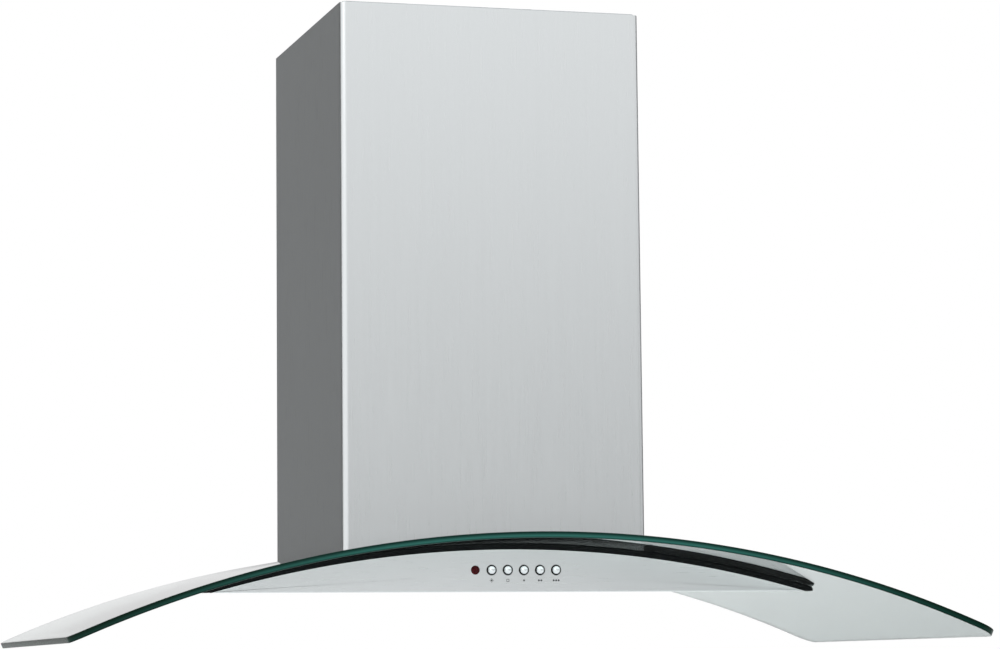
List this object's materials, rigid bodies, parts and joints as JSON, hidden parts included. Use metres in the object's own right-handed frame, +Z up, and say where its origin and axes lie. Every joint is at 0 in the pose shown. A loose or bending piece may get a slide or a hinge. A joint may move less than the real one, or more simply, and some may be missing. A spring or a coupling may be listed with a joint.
{
  "type": "island range hood",
  "caption": "Range hood with an arched glass canopy over a slim lens-shaped steel body with push buttons, hung from the ceiling inside a square telescopic steel chimney.",
  "frame": {"origin": "centre of the ceiling plate's top face, midway between its four ceiling-bolt holes", "axes": "+X to the right as the user faces the controls, +Y to the back, +Z up towards the ceiling"},
  "size_m": [0.9, 0.5015, 0.6356],
  "materials": {
    "brushed_steel_cover": "vertical grain, satin",
    "brushed_steel_body": "horizontal grain, satin",
    "zinc_steel": "zinc-coated steel sheet, semi-matt",
    "dark_fastener": "black-oxide steel",
    "bright_screw": "zinc-plated, bright",
    "glass": "clear toughened glass with green edges",
    "gasket_rubber": "matt black rubber",
    "wire_rubber": "semi-matt black sleeve",
    "button_chrome": "polished chrome",
    "indicator_red": "clear red plastic",
    "icon_ink": "printed grey marks",
    "black_plastic": "moulded black plastic",
    "white_plastic": "moulded white plastic",
    "scroll_plastic": "moulded grey plastic",
    "wheel_plastic": "moulded blue-grey plastic",
    "motor_case": "cast and painted housing",
    "damper_plastic": "thin black plastic",
    "filter_aluminium": "layered aluminium mesh in a folded frame",
    "latch_chrome": "polished chrome",
    "lamp_trim": "spun, satin",
    "lamp_glass": "frosted glass"
  },
  "bodies": {
    "ceiling_frame": {"ceiling_plate": "zinc_steel", "upper_post_fl": "zinc_steel", "upper_post_fr": "zinc_steel", "upper_post_rl": "zinc_steel", "upper_post_rr": "zinc_steel", "post_bolts": "dark_fastener", "upper_brace": "zinc_steel", "upper_cover_front": "brushed_steel_cover", "upper_cover_rear": "brushed_steel_cover", "upper_cover_screws": "bright_screw"},
    "hood": {"lower_post_fl": "zinc_steel", "lower_post_fr": "zinc_steel", "lower_post_rl": "zinc_steel", "lower_post_rr": "zinc_steel", "lower_brace": "zinc_steel", "frame_bolts": "dark_fastener", "lower_cover_front": "brushed_steel_cover", "lower_cover_rear": "brushed_steel_cover", "lower_cover_screws": "bright_screw", "glass_canopy": "glass", "canopy_gasket": "gasket_rubber", "glass_clamps": "zinc_steel", "control_panel": "brushed_steel_body", "rear_panel": "brushed_steel_body", "top_plate": "zinc_steel", "bottom_tray": "brushed_steel_body", "indicator_lens": "indicator_red", "panel_icons": "icon_ink", "switch_block": "black_plastic", "switch_bracket": "zinc_steel", "lamp_driver": "white_plastic", "motor_box": "zinc_steel", "box_screws": "bright_screw", "fan_scroll": "scroll_plastic", "motor": "motor_case", "motor_spider": "zinc_steel", "duct_collar": "black_plastic", "damper_pin": "bright_screw", "junction_box": "white_plastic", "junction_lid": "white_plastic", "cable_gland": "black_plastic", "capacitor": "white_plastic", "wiring": "wire_rubber", "lamp_left": "lamp_trim", "lamp_right": "lamp_trim", "lamp_lens_left": "lamp_glass", "lamp_lens_right": "lamp_glass"},
    "light_button": {"button_light": "button_chrome"},
    "stop_button": {"button_stop": "button_chrome"},
    "speed_1_button": {"button_speed_1": "button_chrome"},
    "speed_2_button": {"button_speed_2": "button_chrome"},
    "speed_3_button": {"button_speed_3": "button_chrome"},
    "fan": {"fan_wheel": "wheel_plastic", "motor_shaft": "bright_screw"},
    "left_damper": {"damper_left": "damper_plastic"},
    "right_damper": {"damper_right": "damper_plastic"},
    "left_filter": {"filter_left": "filter_aluminium"},
    "right_filter": {"filter_right": "filter_aluminium"},
    "left_latch": {"filter_latch_left": "latch_chrome"},
    "right_latch": {"filter_latch_right": "latch_chrome"}
  },
  "joints": [
    {"name": "height_adjust", "type": "slide", "parent": "ceiling_frame", "child": "hood", "axis": [0, 0, -1], "range_m": [0, 0.3]},
    {"name": "press_light", "type": "slide", "parent": "hood", "child": "light_button", "axis": [0, 1, 0], "range_m": [0, 0.003], "stiffness_N_per_m": 300, "springref_m": -0.002},
    {"name": "press_stop", "type": "slide", "parent": "hood", "child": "stop_button", "axis": [0, 1, 0], "range_m": [0, 0.003], "stiffness_N_per_m": 300, "springref_m": -0.002},
    {"name": "press_speed_1", "type": "slide", "parent": "hood", "child": "speed_1_button", "axis": [0, 1, 0], "range_m": [0, 0.003], "stiffness_N_per_m": 300, "springref_m": -0.002},
    {"name": "press_speed_2", "type": "slide", "parent": "hood", "child": "speed_2_button", "axis": [0, 1, 0], "range_m": [0, 0.003], "stiffness_N_per_m": 300, "springref_m": -0.002},
    {"name": "press_speed_3", "type": "slide", "parent": "hood", "child": "speed_3_button", "axis": [0, 1, 0], "range_m": [0, 0.003], "stiffness_N_per_m": 300, "springref_m": -0.002},
    {"name": "fan_spin", "type": "hinge", "parent": "hood", "child": "fan", "pos_m": [0, 0.0465, -0.4255], "axis": [1, 0, 0], "continuous": true},
    {"name": "left_damper_swing", "type": "hinge", "parent": "hood", "child": "left_damper", "pos_m": [0, 0, -0.282], "axis": [0, 1, 0], "range_deg": [0, 75]},
    {"name": "right_damper_swing", "type": "hinge", "parent": "hood", "child": "right_damper", "pos_m": [0, 0, -0.282], "axis": [0, -1, 0], "range_deg": [0, 75]},
    {"name": "left_filter_drop", "type": "hinge", "parent": "hood", "child": "left_filter", "pos_m": [-0.098, 0.131, -0.5703], "axis": [1, 0, 0], "range_deg": [0, 80]},
    {"name": "right_filter_drop", "type": "hinge", "parent": "hood", "child": "right_filter", "pos_m": [0.098, 0.131, -0.5703], "axis": [1, 0, 0], "range_deg": [0, 80]},
    {"name": "left_latch_slide", "type": "slide", "parent": "left_filter", "child": "left_latch", "axis": [0, 1, 0], "range_m": [0, 0.006], "stiffness_N_per_m": 250, "springref_m": -0.003},
    {"name": "right_latch_slide", "type": "slide", "parent": "right_filter", "child": "right_latch", "axis": [0, 1, 0], "range_m": [0, 0.006], "stiffness_N_per_m": 250, "springref_m": -0.003}
  ]
}
